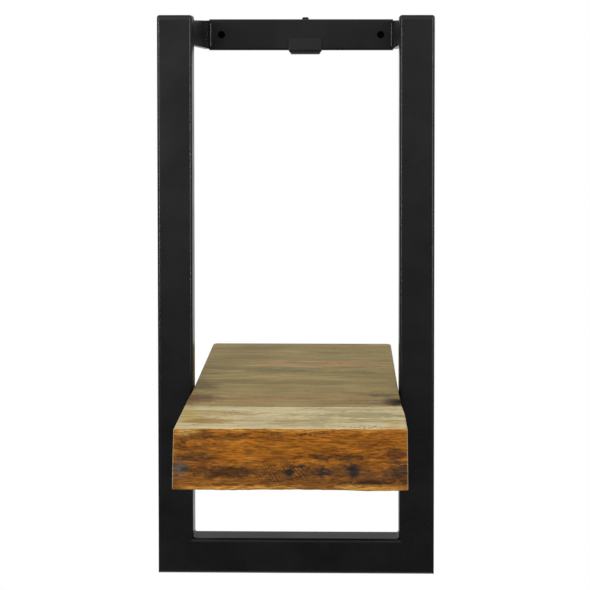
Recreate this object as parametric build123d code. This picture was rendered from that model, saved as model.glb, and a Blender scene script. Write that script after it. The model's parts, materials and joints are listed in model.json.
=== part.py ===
from build123d import *
import os

# A wall shelf: a thick live-edge slab held in a welded black steel frame.
# Millimetres. X to the right, Y into the wall, Z up. The origin is midway between the two wall
# screw holes, on the rear face of the wall rail.

os.makedirs("parts", exist_ok=True)

# Frame
FRAME_WIDTH = 300.0
FRAME_HEIGHT = 607.5
FRAME_DEPTH = 145.0
TUBE_FACE = 38.0
TUBE_DEPTH = 19.0
TUBE_WALL = 1.6
TUBE_RADIUS = 3.2

# End caps
CAP_HEAD = 5.0
CAP_ROUNDING = 3.0
PLUG_LENGTH = 14.0
PLUG_WALL = 2.0
PLUG_CLEARANCE = 0.3
FIN_COUNT = 3
FIN_THICKNESS = 1.0

# Arms: plate, tapering from the wall rail to the uprights
ARM_PLATE = 6.0
ARM_FRONT_HEIGHT = 28.0
ARM_REAR_HEIGHT = 35.0

# Wall rail
WALL_HOLE_SPACING = 194.0
WALL_HOLE_DIAMETER = 9.0

# Wall hook and its locking screw
HOOK_STEEL = 4.0
HOOK_WIDTH = 40.0
HOOK_OFFSET = 5.0
HOOK_LIP_TOP = -3.7
HOOK_PLATE_TOP = 15.0
HOOK_BEND_INSIDE = 3.0
HOOK_CHAMFER_WIDE = 3.0
HOOK_CHAMFER_HIGH = 5.0
HOOK_HOLE_DIAMETER = 5.5
HOOK_HOLE_SINK = 10.0
HOOK_HOLE_SPACING = 22.0
HOOK_HOLE_HEIGHT = 4.0
LOCK_DIAMETER = 4.0
LOCK_CLEARANCE = 0.5
LOCK_HEAD_DIAMETER = 8.0
LOCK_HEAD_HEIGHT = 2.6

# Slab
SLAB_TOP_ABOVE_FOOT = 203.0
SLAB_THICKNESS = 55.5
SLAB_GAP = 1.25
SLAB_OVERHANG = 103.0
LIVE_EDGE_SLOPE = 9.0
SLAB_FLARE = 2.25
SLAB_FLARE_START = 6.0
SLAB_FLARE_END = 32.0
SLAB_REAR_CORNER = 5.0
FRONT_STAVE_DEPTH = 57.5
REAR_STAVE_DEPTH = 82.0

# Support plate under the slab and its screws
SUPPORT_STEEL = 4.0
SUPPORT_DEPTH = 100.0
SUPPORT_SCREW_X = 80.0
SUPPORT_SCREW_INSET = 15.0
WOOD_SCREW_DIAMETER = 4.8
WOOD_SCREW_LENGTH = 34.0
WOOD_SCREW_TIP = 6.0
WOOD_SCREW_HEAD_DIAMETER = 9.0
WOOD_SCREW_HEAD_HEIGHT = 3.0
WOOD_SCREW_CLEARANCE = 0.7

# Welds
BEAD = 3.0

# Derived places
HALF_WIDTH = FRAME_WIDTH / 2
INNER_X = HALF_WIDTH - TUBE_FACE
RAIL_TOP = TUBE_FACE / 2
RAIL_BOTTOM = -TUBE_FACE / 2
FOOT_Z = RAIL_TOP - FRAME_HEIGHT
STEEL_TOP = RAIL_TOP - CAP_HEAD
FRONT_Y = -FRAME_DEPTH
UPRIGHT_REAR_Y = FRONT_Y + TUBE_DEPTH
UPRIGHT_MID_Y = FRONT_Y + TUBE_DEPTH / 2
WALL_Y = HOOK_STEEL
SLAB_TOP = FOOT_Z + SLAB_TOP_ABOVE_FOOT
SLAB_BOTTOM = SLAB_TOP - SLAB_THICKNESS
SLAB_HALF = INNER_X - SLAB_GAP
SLAB_FRONT_Y = FRONT_Y - SLAB_OVERHANG
FRONT_JOINT_Y = SLAB_FRONT_Y + FRONT_STAVE_DEPTH
REAR_JOINT_Y = WALL_Y - REAR_STAVE_DEPTH
SUPPORT_FRONT_Y = UPRIGHT_MID_Y - SUPPORT_DEPTH / 2
SUPPORT_BOTTOM = SLAB_BOTTOM - SUPPORT_STEEL


def tube_profile(face, depth):
    """Hollow section, face along the sketch's X and depth along its Y."""
    inner_radius = TUBE_RADIUS - TUBE_WALL
    hollow = RectangleRounded(face - 2 * TUBE_WALL, depth - 2 * TUBE_WALL, inner_radius)
    return RectangleRounded(face, depth, TUBE_RADIUS) - hollow


def half_space(corner_x, corner_z, side):
    """Everything above the 45 degree mitre line that starts at a bottom corner of the frame."""
    reach = 2 * FRAME_HEIGHT
    outline = Polyline(
        (corner_x, corner_z),
        (corner_x - side * reach, corner_z + reach),
        (corner_x + side * reach, corner_z + reach),
        close=True,
    )
    face = make_face(Plane.XZ * outline)
    return extrude(face, amount=FRAME_DEPTH, both=True)


def upright(side):
    """One upright with its lower end cut to the mitre. side is -1 for left and 1 for right."""
    centre_x = side * (HALF_WIDTH - TUBE_FACE / 2)
    base = Plane((centre_x, UPRIGHT_MID_Y, FOOT_Z))
    solid = extrude(base * tube_profile(TUBE_FACE, TUBE_DEPTH), amount=STEEL_TOP - FOOT_Z)
    return solid & half_space(side * HALF_WIDTH, FOOT_Z, side)


def bottom_rail():
    """Lower member of the U, mitred at both ends."""
    mid_z = FOOT_Z + TUBE_FACE / 2
    base = Plane(origin=(-HALF_WIDTH, UPRIGHT_MID_Y, mid_z), x_dir=(0, 0, 1), z_dir=(1, 0, 0))
    solid = extrude(base * tube_profile(TUBE_FACE, TUBE_DEPTH), amount=FRAME_WIDTH)
    for side in (-1, 1):
        solid -= half_space(side * HALF_WIDTH, FOOT_Z, side)
    return solid


def wall_rail():
    """Rail at the wall, with the two wall screw holes and the hole of the locking screw."""
    base = Plane(origin=(-INNER_X, -TUBE_DEPTH / 2, 0), x_dir=(0, 0, 1), z_dir=(1, 0, 0))
    solid = extrude(base * tube_profile(TUBE_FACE, TUBE_DEPTH), amount=2 * INNER_X)
    across = Rot(90, 0, 0) * Cylinder(WALL_HOLE_DIAMETER / 2, 4 * TUBE_DEPTH)
    for side in (-1, 1):
        solid -= Pos(side * WALL_HOLE_SPACING / 2, 0, 0) * across
    down = Cylinder((LOCK_DIAMETER + LOCK_CLEARANCE) / 2, 2 * TUBE_FACE)
    return solid - Pos(HOOK_OFFSET, -TUBE_DEPTH / 2, 0) * down


def arm(side):
    """Tapered plate, its inner face in line with the inner face of the upright."""
    front = ARM_FRONT_HEIGHT / 2
    rear = ARM_REAR_HEIGHT / 2
    outline = Polyline(
        (UPRIGHT_REAR_Y, -front),
        (UPRIGHT_REAR_Y, front),
        (-TUBE_DEPTH, rear),
        (0, rear),
        (0, -rear),
        (-TUBE_DEPTH, -rear),
        close=True,
    )
    face = make_face(Plane.YZ * outline)
    plate = extrude(face, amount=ARM_PLATE / 2, both=True)
    return Pos(side * (INNER_X + ARM_PLATE / 2), 0, 0) * plate


def end_cap(side):
    """Plug with a rounded head. The fins grip the inside of the tube."""
    centre_x = side * (HALF_WIDTH - TUBE_FACE / 2)
    head = extrude(RectangleRounded(TUBE_FACE, TUBE_DEPTH, TUBE_RADIUS), amount=CAP_HEAD)
    head = fillet(head.faces().sort_by(Axis.Z)[-1].edges(), CAP_ROUNDING)
    bore_x = TUBE_FACE - 2 * TUBE_WALL
    bore_y = TUBE_DEPTH - 2 * TUBE_WALL
    corner = TUBE_RADIUS - TUBE_WALL
    shank_x = bore_x - 2 * PLUG_CLEARANCE
    shank_y = bore_y - 2 * PLUG_CLEARANCE
    shank = RectangleRounded(shank_x, shank_y, corner - PLUG_CLEARANCE)
    shank -= Rectangle(shank_x - 2 * PLUG_WALL, shank_y - 2 * PLUG_WALL)
    body = extrude(shank, amount=-PLUG_LENGTH)
    ring = RectangleRounded(bore_x, bore_y, corner)
    ring -= Rectangle(shank_x - 2 * PLUG_WALL, shank_y - 2 * PLUG_WALL)
    cap = head + body
    for index in range(FIN_COUNT):
        depth = -PLUG_LENGTH * (index + 1) / (FIN_COUNT + 1)
        cap += Pos(0, 0, depth) * extrude(ring, amount=FIN_THICKNESS)
    return Pos(centre_x, UPRIGHT_MID_Y, STEEL_TOP) * cap


def wall_hook():
    """J-shaped strap: a plate behind the rail, a floor under it and a lip in front of it."""
    floor_z = RAIL_BOTTOM - HOOK_STEEL
    lip_y = -TUBE_DEPTH - HOOK_STEEL
    bend_outside = HOOK_BEND_INSIDE + HOOK_STEEL
    outer = make_face(
        Polyline(
            (HOOK_STEEL, HOOK_PLATE_TOP),
            (HOOK_STEEL, floor_z),
            (lip_y, floor_z),
            (lip_y, HOOK_PLATE_TOP),
            close=True,
        )
    )
    outer = fillet(outer.vertices().group_by(Axis.Y)[0], bend_outside)
    inner = make_face(
        Polyline(
            (0, HOOK_PLATE_TOP + HOOK_STEEL),
            (0, RAIL_BOTTOM),
            (-TUBE_DEPTH, RAIL_BOTTOM),
            (-TUBE_DEPTH, HOOK_PLATE_TOP + HOOK_STEEL),
            close=True,
        )
    )
    inner = fillet(inner.vertices().group_by(Axis.Y)[0], HOOK_BEND_INSIDE)
    above_lip = Pos(lip_y, (HOOK_LIP_TOP + HOOK_PLATE_TOP) / 2) * Rectangle(
        3 * HOOK_STEEL, HOOK_PLATE_TOP - HOOK_LIP_TOP
    )
    profile = outer - inner - above_lip
    strap = extrude(Plane.YZ * profile, amount=HOOK_WIDTH / 2, both=True)
    nick = make_face(
        Polyline(
            (HOOK_WIDTH / 2, floor_z),
            (HOOK_WIDTH / 2 - HOOK_CHAMFER_WIDE, floor_z),
            (HOOK_WIDTH / 2, floor_z + HOOK_CHAMFER_HIGH),
            close=True,
        )
    )
    cutter = extrude(Plane.XZ * nick, amount=2 * TUBE_DEPTH, both=True)
    strap -= cutter
    strap -= mirror(cutter, Plane.YZ)
    for side in (-1, 1):
        x = side * HOOK_HOLE_SPACING / 2
        through = Rot(90, 0, 0) * Cylinder(HOOK_HOLE_DIAMETER / 2, 4 * HOOK_STEEL)
        sink_depth = (HOOK_HOLE_SINK - HOOK_HOLE_DIAMETER) / 2
        sink = Rot(-90, 0, 0) * Cone(HOOK_HOLE_SINK / 2, HOOK_HOLE_DIAMETER / 2, sink_depth)
        strap -= Pos(x, HOOK_STEEL / 2, HOOK_HOLE_HEIGHT) * through
        strap -= Pos(x, sink_depth / 2, HOOK_HOLE_HEIGHT) * sink
    strap -= Pos(0, -TUBE_DEPTH / 2, floor_z) * Cylinder(LOCK_DIAMETER / 2, 4 * HOOK_STEEL)
    return Pos(HOOK_OFFSET, 0, 0) * strap


def cross_recess(width, depth):
    """Cross of two bars, cut into a screw head."""
    bar = Box(width, width / 4, depth)
    return bar + Rot(0, 0, 90) * bar


def lock_screw():
    """Pan head screw down through the rail into the floor of the hook."""
    length = TUBE_FACE + HOOK_STEEL
    shank = Pos(0, 0, RAIL_TOP - length / 2) * Cylinder(LOCK_DIAMETER / 2, length)
    head = Cylinder(LOCK_HEAD_DIAMETER / 2, LOCK_HEAD_HEIGHT)
    head = fillet(head.edges().group_by(Axis.Z)[-1], LOCK_HEAD_HEIGHT * 0.55)
    head -= Pos(0, 0, LOCK_HEAD_HEIGHT / 2) * cross_recess(LOCK_HEAD_DIAMETER / 2, LOCK_HEAD_HEIGHT / 2)
    head = Pos(0, 0, RAIL_TOP + LOCK_HEAD_HEIGHT / 2) * head
    return Pos(HOOK_OFFSET, -TUBE_DEPTH / 2, 0) * (shank + head)


def wood_screw():
    """Pan head wood screw pointing up, with the underside of its head at Z = 0."""
    straight = WOOD_SCREW_LENGTH - WOOD_SCREW_TIP
    radius = WOOD_SCREW_DIAMETER / 2
    shank = Pos(0, 0, straight / 2) * Cylinder(radius, straight)
    tip = Pos(0, 0, straight + WOOD_SCREW_TIP / 2) * Cone(radius, 0.3, WOOD_SCREW_TIP)
    head = Cylinder(WOOD_SCREW_HEAD_DIAMETER / 2, WOOD_SCREW_HEAD_HEIGHT)
    head = fillet(head.edges().group_by(Axis.Z)[0], WOOD_SCREW_HEAD_HEIGHT * 0.55)
    recess = cross_recess(WOOD_SCREW_HEAD_DIAMETER / 2, WOOD_SCREW_HEAD_HEIGHT / 2)
    head -= Pos(0, 0, -WOOD_SCREW_HEAD_HEIGHT / 2) * recess
    return shank + tip + Pos(0, 0, -WOOD_SCREW_HEAD_HEIGHT / 2) * head


def screw_places():
    """Plan positions of the four slab screws."""
    front = SUPPORT_FRONT_Y + SUPPORT_SCREW_INSET
    rear = SUPPORT_FRONT_Y + SUPPORT_DEPTH - SUPPORT_SCREW_INSET
    return [(side * SUPPORT_SCREW_X, y) for side in (-1, 1) for y in (front, rear)]


def slab_screws():
    """The four slab screws in place."""
    return [Pos(x, y, SUPPORT_BOTTOM) * wood_screw() for x, y in screw_places()]


def support_plate():
    """Plate under the slab, welded between the uprights."""
    centre_z = SUPPORT_BOTTOM + SUPPORT_STEEL / 2
    plate = Pos(0, UPRIGHT_MID_Y, centre_z) * Box(2 * INNER_X, SUPPORT_DEPTH, SUPPORT_STEEL)
    hole = Cylinder((WOOD_SCREW_DIAMETER + WOOD_SCREW_CLEARANCE) / 2, 3 * SUPPORT_STEEL)
    for x, y in screw_places():
        plate -= Pos(x, y, centre_z) * hole
    return plate


def live_outline(front_y, waves):
    """Plan outline of the front stave, its front edge a smooth line through the waves."""
    half = SLAB_HALF + SLAB_FLARE
    last = len(waves) - 1
    points = []
    for index, wave in enumerate(waves):
        x = -half + 2 * half * index / last
        points.append((x, front_y + wave))
    edge = Spline(*points)
    back = Polyline(
        points[-1],
        (half, FRONT_JOINT_Y - SLAB_FLARE_END),
        (SLAB_HALF, FRONT_JOINT_Y - SLAB_FLARE_START),
        (SLAB_HALF, FRONT_JOINT_Y),
        (-SLAB_HALF, FRONT_JOINT_Y),
        (-SLAB_HALF, FRONT_JOINT_Y - SLAB_FLARE_START),
        (-half, FRONT_JOINT_Y - SLAB_FLARE_END),
        points[0],
    )
    return make_face(edge + back)


def front_stave():
    """Front stave with the live edge: wavy, wider at the front, and further forward at the bottom."""
    bottom = live_outline(SLAB_FRONT_Y - LIVE_EDGE_SLOPE, (3.0, 0.6, 0.0, 1.0, 0.4, 1.2, 3.5))
    middle = live_outline(SLAB_FRONT_Y - LIVE_EDGE_SLOPE * 0.45, (1.6, -0.4, 0.6, -0.5, 0.6, 0.2, 2.6))
    top = live_outline(SLAB_FRONT_Y, (1.4, 0.0, 0.8, 0.2, 0.9, 0.3, 2.2))
    sections = [
        Pos(0, 0, SLAB_BOTTOM) * bottom,
        Pos(0, 0, SLAB_BOTTOM + SLAB_THICKNESS / 2) * middle,
        Pos(0, 0, SLAB_TOP) * top,
    ]
    return loft(sections)


def stave(front_y, rear_y):
    """Square-edged stave between two joint lines."""
    depth = rear_y - front_y
    centre = ((front_y + rear_y) / 2, SLAB_BOTTOM + SLAB_THICKNESS / 2)
    return Pos(0, *centre) * Box(2 * SLAB_HALF, depth, SLAB_THICKNESS)


def rear_stave():
    """Rear stave, its two corners at the wall rounded in plan."""
    solid = stave(REAR_JOINT_Y, WALL_Y)
    corners = solid.edges().filter_by(Axis.Z).group_by(Axis.Y)[-1]
    return fillet(corners, SLAB_REAR_CORNER)


def middle_stave():
    """Middle stave, bored for the slab screws."""
    solid = stave(FRONT_JOINT_Y, REAR_JOINT_Y)
    for screw in slab_screws():
        solid -= screw
    return solid


def bead_profile():
    """Concave quarter section of a fillet weld, with its corner at the sketch's origin."""
    square = Pos(BEAD / 2, BEAD / 2) * Rectangle(BEAD, BEAD)
    return square - Pos(BEAD, BEAD) * Circle(BEAD)


def mirrored_pair(solid):
    """A solid on the right and its mirror image on the left."""
    return [solid, mirror(solid, Plane.YZ)]


def flare_weld():
    """Fills the groove between the rounded corner of the upright and the end of the arm."""
    corner = Pos(INNER_X + TUBE_RADIUS / 2, UPRIGHT_REAR_Y - TUBE_RADIUS / 2) * Rectangle(
        TUBE_RADIUS, TUBE_RADIUS
    )
    rounding = Pos(INNER_X + TUBE_RADIUS, UPRIGHT_REAR_Y - TUBE_RADIUS) * Circle(TUBE_RADIUS)
    base = Plane((0, 0, -ARM_FRONT_HEIGHT / 2))
    return extrude(base * (corner - rounding), amount=ARM_FRONT_HEIGHT)


def rail_corner_weld():
    """Upright bead in the corner between the arm and the front of the wall rail."""
    start = (INNER_X, -TUBE_DEPTH, -ARM_FRONT_HEIGHT / 2)
    base = Plane(origin=start, x_dir=(-1, 0, 0), z_dir=(0, 0, 1))
    return extrude(base * bead_profile(), amount=ARM_FRONT_HEIGHT)


def arm_root_weld():
    """Bead under the arm, across its thickness, where it meets the upright."""
    start = (INNER_X + ARM_PLATE, UPRIGHT_REAR_Y, -ARM_FRONT_HEIGHT / 2)
    base = Plane(origin=start, x_dir=(0, 1, 0), z_dir=(-1, 0, 0))
    bead = extrude(base * bead_profile(), amount=ARM_PLATE - TUBE_RADIUS)
    return bead - arm(1)


def foot_corner_weld():
    """Bead in the inner corner of the U, between its rounded edges."""
    run = TUBE_DEPTH - 2 * TUBE_RADIUS
    start = (INNER_X, FRONT_Y + TUBE_RADIUS, FOOT_Z + TUBE_FACE)
    base = Plane(origin=start, x_dir=(-1, 0, 0), z_dir=(0, 1, 0))
    return extrude(base * bead_profile(), amount=run)


def support_weld():
    """Bead under the end of the support plate."""
    run = TUBE_DEPTH - 2 * TUBE_RADIUS
    start = (INNER_X, FRONT_Y + TUBE_RADIUS + run, SUPPORT_BOTTOM)
    base = Plane(origin=start, x_dir=(-1, 0, 0), z_dir=(0, -1, 0))
    return extrude(base * bead_profile(), amount=run)


def frame_welds():
    """Every visible bead of the frame."""
    right = [
        flare_weld(),
        rail_corner_weld(),
        arm_root_weld(),
        foot_corner_weld(),
        support_weld(),
    ]
    return [solid for bead in right for solid in mirrored_pair(bead)]


NODES = {
    "left_upright": [upright(-1)],
    "right_upright": [upright(1)],
    "bottom_rail": [bottom_rail()],
    "left_arm": [arm(-1)],
    "right_arm": [arm(1)],
    "wall_rail": [wall_rail()],
    "left_end_cap": [end_cap(-1)],
    "right_end_cap": [end_cap(1)],
    "support_plate": [support_plate()],
    "slab_front_stave": [front_stave()],
    "slab_middle_stave": [middle_stave()],
    "slab_rear_stave": [rear_stave()],
    "slab_screws": slab_screws(),
    "wall_hook": [wall_hook()],
    "lock_screw": [lock_screw()],
    "frame_welds": frame_welds(),
}

for name, pieces in NODES.items():
    shape = pieces[0] if len(pieces) == 1 else Compound(children=pieces)
    export_step(shape, f"parts/{name}.step")
    print(name, len(pieces), round(sum(piece.volume for piece in pieces)))
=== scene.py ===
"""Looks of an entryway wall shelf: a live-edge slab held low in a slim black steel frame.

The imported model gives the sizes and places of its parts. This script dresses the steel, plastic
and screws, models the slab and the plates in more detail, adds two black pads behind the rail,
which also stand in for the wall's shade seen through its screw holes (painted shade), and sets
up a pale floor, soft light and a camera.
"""

import json
import logging
import math
from collections.abc import Callable, Sequence
from dataclasses import dataclass
from enum import Enum

import bmesh
import bpy
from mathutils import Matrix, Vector

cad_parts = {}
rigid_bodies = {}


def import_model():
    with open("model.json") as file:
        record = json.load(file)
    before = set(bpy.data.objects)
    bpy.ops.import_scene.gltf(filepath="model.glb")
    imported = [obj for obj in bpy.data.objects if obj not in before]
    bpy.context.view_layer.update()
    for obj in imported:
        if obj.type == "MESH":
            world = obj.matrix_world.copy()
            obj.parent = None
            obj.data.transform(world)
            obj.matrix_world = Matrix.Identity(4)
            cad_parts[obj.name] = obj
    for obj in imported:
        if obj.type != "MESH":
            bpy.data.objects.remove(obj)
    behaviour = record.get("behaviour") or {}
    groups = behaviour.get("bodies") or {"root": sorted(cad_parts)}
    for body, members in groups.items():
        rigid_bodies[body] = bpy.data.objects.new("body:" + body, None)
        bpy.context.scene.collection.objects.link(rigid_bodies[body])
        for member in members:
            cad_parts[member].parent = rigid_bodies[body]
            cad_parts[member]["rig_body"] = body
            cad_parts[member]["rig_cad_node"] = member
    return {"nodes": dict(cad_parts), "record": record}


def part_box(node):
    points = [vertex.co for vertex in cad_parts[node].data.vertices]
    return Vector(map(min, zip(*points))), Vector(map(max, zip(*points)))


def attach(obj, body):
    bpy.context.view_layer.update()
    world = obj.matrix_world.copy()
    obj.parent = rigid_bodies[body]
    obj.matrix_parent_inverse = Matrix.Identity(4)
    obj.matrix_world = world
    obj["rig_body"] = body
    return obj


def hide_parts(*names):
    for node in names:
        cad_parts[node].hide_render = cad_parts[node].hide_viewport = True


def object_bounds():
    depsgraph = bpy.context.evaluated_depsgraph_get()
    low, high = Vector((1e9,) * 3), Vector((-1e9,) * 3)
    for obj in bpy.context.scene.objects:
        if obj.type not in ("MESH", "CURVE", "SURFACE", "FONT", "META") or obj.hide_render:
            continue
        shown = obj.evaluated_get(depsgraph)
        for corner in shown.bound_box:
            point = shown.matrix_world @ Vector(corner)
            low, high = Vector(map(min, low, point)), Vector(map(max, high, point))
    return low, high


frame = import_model()
CAD_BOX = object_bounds()

MM = 0.001
BODY = "root"
log = logging.getLogger("wall_shelf")


# ---------------------------------------------------------------- small tools

def linear(hex_colour: str) -> tuple[float, float, float, float]:
    """Turns an sRGB hex colour into linear RGBA.

    Args:
        hex_colour: six hex digits, with or without a leading hash.

    Returns:
        Linear red, green, blue and an alpha of one.
    """
    digits = hex_colour.lstrip("#")
    channels = [int(digits[i:i + 2], 16) / 255 for i in (0, 2, 4)]
    low = [c / 12.92 if c <= 0.04045 else ((c + 0.055) / 1.055) ** 2.4 for c in channels]
    return (low[0], low[1], low[2], 1.0)


def add_node(
    tree: bpy.types.NodeTree,
    kind: str,
    inputs: dict[int | str, object] | None = None,
    stops: Sequence[tuple[float, str]] = (),
    **settings: object,
) -> bpy.types.Node:
    """Adds a node with its settings, its inputs and, on a colour ramp, its stops.

    Args:
        tree: the node tree that gets the node.
        kind: the node's type name.
        inputs: input socket to a plain value or to the output socket that feeds it.
        stops: position and sRGB hex colour of each stop of a colour ramp.
        **settings: properties of the node itself.

    Returns:
        The new node.
    """
    node = tree.nodes.new(kind)
    for name, value in settings.items():
        setattr(node, name, value)
    for key, value in (inputs or {}).items():
        if isinstance(value, bpy.types.NodeSocket):
            tree.links.new(value, node.inputs[key])
        else:
            node.inputs[key].default_value = value
    if stops:
        ramp = node.color_ramp
        while len(ramp.elements) < len(stops):
            ramp.elements.new(1.0)
        for element, (position, colour) in zip(ramp.elements, stops):
            element.position = position
            element.color = linear(colour)
    return node


def per_metre(*spacings_mm: float) -> tuple[float, float, float]:
    """Mapping scale whose pattern repeats about once in each of three spacings in millimetres."""
    return tuple(1 / (spacing * MM) for spacing in spacings_mm)


def activate(piece: bpy.types.Object) -> None:
    """Makes a piece the only selected object, and the active one.

    Args:
        piece: the object.
    """
    bpy.ops.object.select_all(action="DESELECT")
    piece.select_set(True)
    bpy.context.view_layer.objects.active = piece


class Part(Enum):
    """What a selection picks."""

    VERT = "VERT"
    EDGE = "EDGE"
    FACE = "FACE"


def pick(piece: bpy.types.Object, part: Part, wanted: Callable[..., bool]) -> int:
    """Selects parts of a piece in edit mode by a test.

    Args:
        piece: the object in edit mode.
        part: vertices, edges or faces.
        wanted: says of one bmesh element whether it is picked.

    Returns:
        How many elements were picked.
    """
    bpy.ops.mesh.select_mode(type=part.value)
    bpy.ops.mesh.select_all(action="DESELECT")
    mesh = bmesh.from_edit_mesh(piece.data)
    mesh.normal_update()
    pools = {Part.VERT: mesh.verts, Part.EDGE: mesh.edges, Part.FACE: mesh.faces}
    count = 0
    for element in pools[part]:
        if wanted(element):
            element.select_set(True)
            count += 1
    mesh.select_flush_mode()
    bmesh.update_edit_mesh(piece.data)
    return count


def along(axis: int, shortest: float) -> Callable[[bmesh.types.BMEdge], bool]:
    """Makes a test for the longer edges that run along an axis.

    Args:
        axis: 0, 1 or 2 for X, Y or Z.
        shortest: edges up to this many metres fail.

    Returns:
        The test.
    """
    def test(edge: bmesh.types.BMEdge) -> bool:
        """Whether one edge passes."""
        run = edge.verts[1].co - edge.verts[0].co
        return run.length > shortest and abs(run[axis]) > 0.9 * run.length
    return test


def box_piece(name: str, low: Vector, high: Vector) -> bpy.types.Object:
    """Adds a cube stretched to a box, its place in its mesh, and leaves it in edit mode.

    Args:
        name: the piece's name.
        low: the box's lowest corner.
        high: the box's highest corner.

    Returns:
        The piece.
    """
    bpy.ops.object.select_all(action="DESELECT")
    bpy.ops.mesh.primitive_cube_add(size=1, location=(low + high) / 2, scale=high - low)
    bpy.ops.object.transform_apply(location=True, rotation=True, scale=True)
    piece = bpy.context.active_object
    piece.name = name
    bpy.ops.object.mode_set(mode="EDIT")
    return piece


def cut_grid(piece: bpy.types.Object, axis: int, cuts: int, shortest: float) -> None:
    """Divides every long edge along one axis into cuts + 1 lengths.

    Args:
        piece: the object in edit mode.
        axis: 0, 1 or 2 for X, Y or Z.
        cuts: number of cuts.
        shortest: edges up to this many metres are left whole.
    """
    pick(piece, Part.EDGE, along(axis, shortest))
    bpy.ops.mesh.subdivide(number_cuts=cuts)


def weigh(piece: bpy.types.Object, name: str, weight: Callable[[Vector], float]) -> str:
    """Adds a vertex group whose weight is a function of each vertex's place.

    Args:
        piece: the object.
        name: the group's name.
        weight: gives the weight at a place; it is kept between 0 and 1.

    Returns:
        The name that the group got.
    """
    group = piece.vertex_groups.new(name=name)
    for vertex in piece.data.vertices:
        value = min(1.0, weight(vertex.co))
        if value > 0:
            group.add([vertex.index], value, "REPLACE")
    return group.name


def carve(
    piece: bpy.types.Object,
    group: str,
    direction: str,
    strength: float,
    grain: float = 0.0,
    stretch: float = 1.0,
) -> None:
    """Moves the vertices of a group, evenly or by soft noise, and applies the change.

    Args:
        piece: the object, in object mode.
        group: vertex group that moves.
        direction: X, Y, Z or NORMAL.
        strength: how far, in metres; with noise, the whole spread.
        grain: size of the noise in metres, or 0 for an even move.
        stretch: how many times longer the noise is along the grain of the wood.
    """
    activate(piece)
    change = piece.modifiers.new("carve", "DISPLACE")
    change.vertex_group = group
    change.direction = direction
    change.strength = strength
    change.mid_level = 0.0
    ruler = None
    if grain:
        clouds = bpy.data.textures.new("carve", "CLOUDS")
        clouds.noise_scale = grain
        clouds.noise_depth = 2
        bpy.ops.object.empty_add(scale=(stretch, 1, 1))
        ruler = bpy.context.active_object
        change.texture = clouds
        change.texture_coords = "OBJECT"
        change.texture_coords_object = ruler
        change.mid_level = 0.5
        activate(piece)
    bpy.ops.object.modifier_apply(modifier=change.name)
    if ruler:
        bpy.data.objects.remove(ruler)


def smooth(value: float, start: float, end: float) -> float:
    """Soft step from 0 at start to 1 at end."""
    t = min(1.0, max(0.0, (value - start) / (end - start)))
    return t * t * (3 - 2 * t)


# ---------------------------------------------------------------- finishes

@dataclass(frozen=True)
class Finish:
    """Base of every finish: a name and the way to a new node tree."""

    name: str

    def start(self) -> tuple[bpy.types.Material, bpy.types.NodeTree, bpy.types.Node]:
        """Makes the material.

        Returns:
            The material, its node tree and its empty surface shader.
        """
        material = bpy.data.materials.new(self.name)
        material.use_nodes = True
        tree = material.node_tree
        tree.nodes.clear()
        shader = add_node(tree, "ShaderNodeBsdfPrincipled")
        add_node(tree, "ShaderNodeOutputMaterial", {"Surface": shader.outputs["BSDF"]})
        return material, tree, shader


@dataclass(frozen=True)
class PowderCoat(Finish):
    """Black polyester powder, sprayed on the steel and baked.

    The powder melts into one thick skin, so the eye sees deep black with soft, slightly rippled
    reflections and no metal. Its orange peel is fine, under 2 mm from crest to crest.
    """

    colour: str = "#0c0c0d"
    peel_mm: float = 1.6
    roughness: float = 0.27
    relief_mm: float = 0.012

    def build(self) -> bpy.types.Material:
        """Builds the coat.

        Returns:
            Its material.
        """
        material, tree, shader = self.start()
        shader.inputs["Base Color"].default_value = linear(self.colour)
        shader.inputs["Specular IOR Level"].default_value = 0.42
        place = add_node(tree, "ShaderNodeTexCoord").outputs["Object"]
        peel = add_node(tree, "ShaderNodeTexNoise", {
            "Vector": place, "Scale": 1 / (self.peel_mm * MM), "Detail": 2.0,
        })
        cloud = add_node(tree, "ShaderNodeTexNoise", {
            "Vector": place, "Scale": 1 / (40 * MM), "Detail": 3.0,
        })
        gloss = add_node(tree, "ShaderNodeMapRange", {
            "Value": cloud.outputs["Fac"], "From Min": 0.3, "From Max": 0.7,
            "To Min": self.roughness - 0.04, "To Max": self.roughness + 0.06,
        })
        bump = add_node(tree, "ShaderNodeBump", {
            "Height": peel.outputs["Fac"], "Strength": 0.2, "Distance": self.relief_mm * MM,
        })
        tree.links.new(gloss.outputs["Result"], shader.inputs["Roughness"])
        tree.links.new(bump.outputs["Normal"], shader.inputs["Normal"])
        return material


@dataclass(frozen=True)
class MouldedPlastic(Finish):
    """Black polyethylene, injection moulded in a spark-eroded tool.

    The tool's fine grain breaks up the light, so the eye sees a grey sheen and no clear reflection.
    The grain is drawn coarser than a tool leaves it, because the real one would not show.
    """

    colour: str = "#101011"
    grain_mm: float = 0.7
    roughness: float = 0.38

    def build(self) -> bpy.types.Material:
        """Builds the plastic.

        Returns:
            Its material.
        """
        material, tree, shader = self.start()
        shader.inputs["Base Color"].default_value = linear(self.colour)
        shader.inputs["Roughness"].default_value = self.roughness
        place = add_node(tree, "ShaderNodeTexCoord").outputs["Object"]
        grain = add_node(tree, "ShaderNodeTexNoise", {
            "Vector": place, "Scale": 1 / (self.grain_mm * MM), "Detail": 2.0,
        })
        bump = add_node(tree, "ShaderNodeBump", {
            "Height": grain.outputs["Fac"], "Strength": 0.4, "Distance": 0.02 * MM,
        })
        tree.links.new(bump.outputs["Normal"], shader.inputs["Normal"])
        return material


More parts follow.
